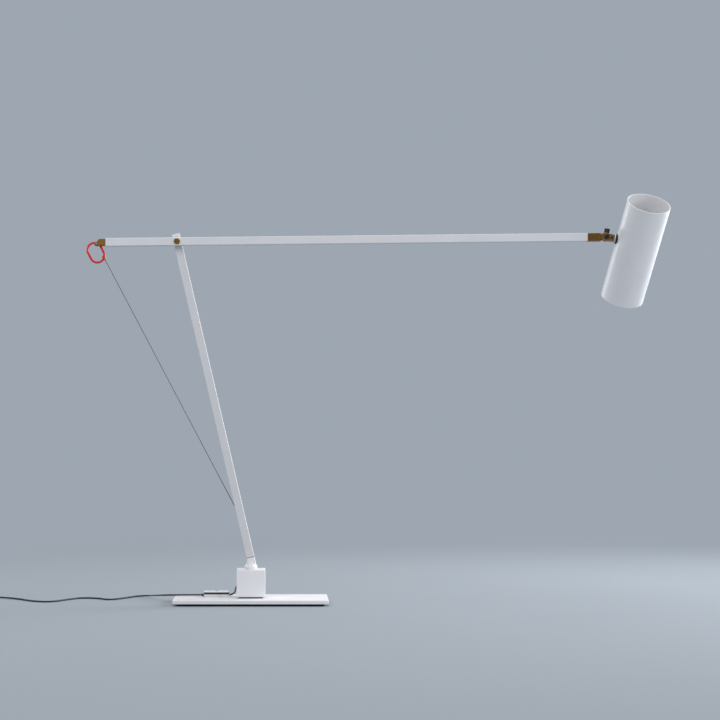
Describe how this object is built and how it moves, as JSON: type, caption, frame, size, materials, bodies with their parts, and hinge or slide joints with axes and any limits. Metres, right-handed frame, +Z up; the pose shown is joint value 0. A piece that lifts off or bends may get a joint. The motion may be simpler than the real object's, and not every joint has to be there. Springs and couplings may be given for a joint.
{
  "type": "counterweight balance desk lamp",
  "caption": "Balanced desk lamp: square stem on a cube and plate, long arm held by a spring wire, tilting tube head, in-line dimmer, cord and plug.",
  "frame": {"origin": "centre of the face of the base pad that rests on the table", "axes": "+X along the arm towards the head, +Y away from the viewer, +Z up"},
  "size_m": [1.5592, 0.2417, 0.8488],
  "materials": {
    "white_steel": "satin lacquer",
    "white_tube": "satin white lacquer",
    "brass": "aged satin",
    "bush_bronze": "plain",
    "black_metal": "satin",
    "black_rubber": "matte",
    "steel": "bright",
    "red_lacquer": "gloss lacquer",
    "white_plastic": "fine matte",
    "black_plastic": "fine matte",
    "grey_plastic": "fine matte",
    "cable": "matte",
    "bare_aluminium": "natural",
    "chip_yellow": "gloss",
    "mirror_metal": "bright",
    "frosted": "frosted",
    "board_green": "solder mask"
  },
  "bodies": {
    "base": {"base_pad": "black_rubber", "base_plate": "white_steel", "cube_spacer": "black_metal", "base_cube": "white_steel", "cube_screws": "steel", "swivel_bush": "bush_bronze", "cable_gland": "black_rubber", "dimmer_base": "white_plastic", "dimmer_band": "black_plastic", "dimmer_cover": "white_plastic", "dimmer_board": "board_green", "cord_relief": "black_rubber", "link_cord": "cable", "supply_cord": "cable", "cord_coil": "cable", "cord_tie": "black_plastic", "supply_plug": "black_plastic", "plug_pins": "mirror_metal"},
    "button": {"dimmer_button": "grey_plastic"},
    "stem": {"stem_foot": "white_steel", "swivel_washer": "steel", "spindle_nut": "steel", "stem_tube": "white_tube", "stem_cap": "white_plastic", "balance_spring": "steel", "spring_seat": "black_plastic", "seat_screw": "black_metal", "pivot_pin": "brass", "pivot_spacer": "black_plastic", "pivot_washer": "black_plastic", "pivot_nut": "brass", "stem_lead": "cable"},
    "carriage": {"wire_carriage": "black_plastic"},
    "arm": {"arm_tube": "white_tube", "tail_plug": "brass", "eye_pin": "steel", "arm_end_plug": "brass", "arm_lead": "cable"},
    "wire": {"tension_link": "red_lacquer", "wire_ferrule": "steel", "balance_wire": "steel", "wire_nipple": "steel"},
    "knuckle": {"head_fork": "brass", "hinge_screw": "black_metal", "hinge_nut": "black_metal", "lock_screw": "black_metal"},
    "knob": {"thumb_knob": "black_plastic"},
    "head": {"head_stub": "steel", "stub_ring": "white_plastic", "outer_saddle": "black_plastic", "inner_saddle": "black_plastic", "stub_nut": "steel", "head_shade": "white_tube", "heat_sink": "bare_aluminium", "led_board": "bare_aluminium", "led_chip": "chip_yellow", "reflector": "mirror_metal", "diffuser": "frosted", "retainer_ring": "bare_aluminium", "head_lead": "cable"}
  },
  "joints": [
    {"name": "button_press", "type": "slide", "parent": "base", "child": "button", "axis": [0, 0, -1], "range_m": [0, 0.0006], "stiffness_N_per_m": 800, "springref_m": -0.0004},
    {"name": "stem_swivel", "type": "hinge", "parent": "base", "child": "stem", "pos_m": [0, 0, 0.0715], "axis": [0, 0, 1], "range_deg": [-60, 60]},
    {"name": "carriage_slide", "type": "slide", "parent": "stem", "child": "carriage", "axis": [-0.2256, 0, 0.9742], "range_m": [-0.048, 0.048], "deforming": ["balance_spring"]},
    {"name": "arm_pivot", "type": "hinge", "parent": "stem", "child": "arm", "pos_m": [-0.15307, 0, 0.75156], "axis": [0, 1, 0], "range_deg": [-18, 18]},
    {"name": "wire_swing", "type": "hinge", "parent": "arm", "child": "wire", "pos_m": [-0.32003, -0.0175, 0.74721], "axis": [0, 1, 0], "range_deg": [-17.1, 17.1]},
    {"name": "head_tilt", "type": "hinge", "parent": "arm", "child": "knuckle", "pos_m": [0.73638, -0.0175, 0.76087], "axis": [0, 1, 0], "range_deg": [-20, 75]},
    {"name": "knob_turn", "type": "hinge", "parent": "knuckle", "child": "knob", "pos_m": [0.73638, -0.0175, 0.76087], "axis": [0.1564, 0, 0.9877], "range_deg": [0, 180]},
    {"name": "head_turn", "type": "hinge", "parent": "knuckle", "child": "head", "pos_m": [0.73638, -0.0175, 0.76087], "axis": [0.9877, 0, -0.1564], "range_deg": [-90, 90]}
  ],
  "couplings": [
    {"joint": "wire_swing", "follows": "arm_pivot", "ratio": -0.946},
    {"joint": "carriage_slide", "follows": "arm_pivot", "m_per_rad": 0.1524}
  ]
}
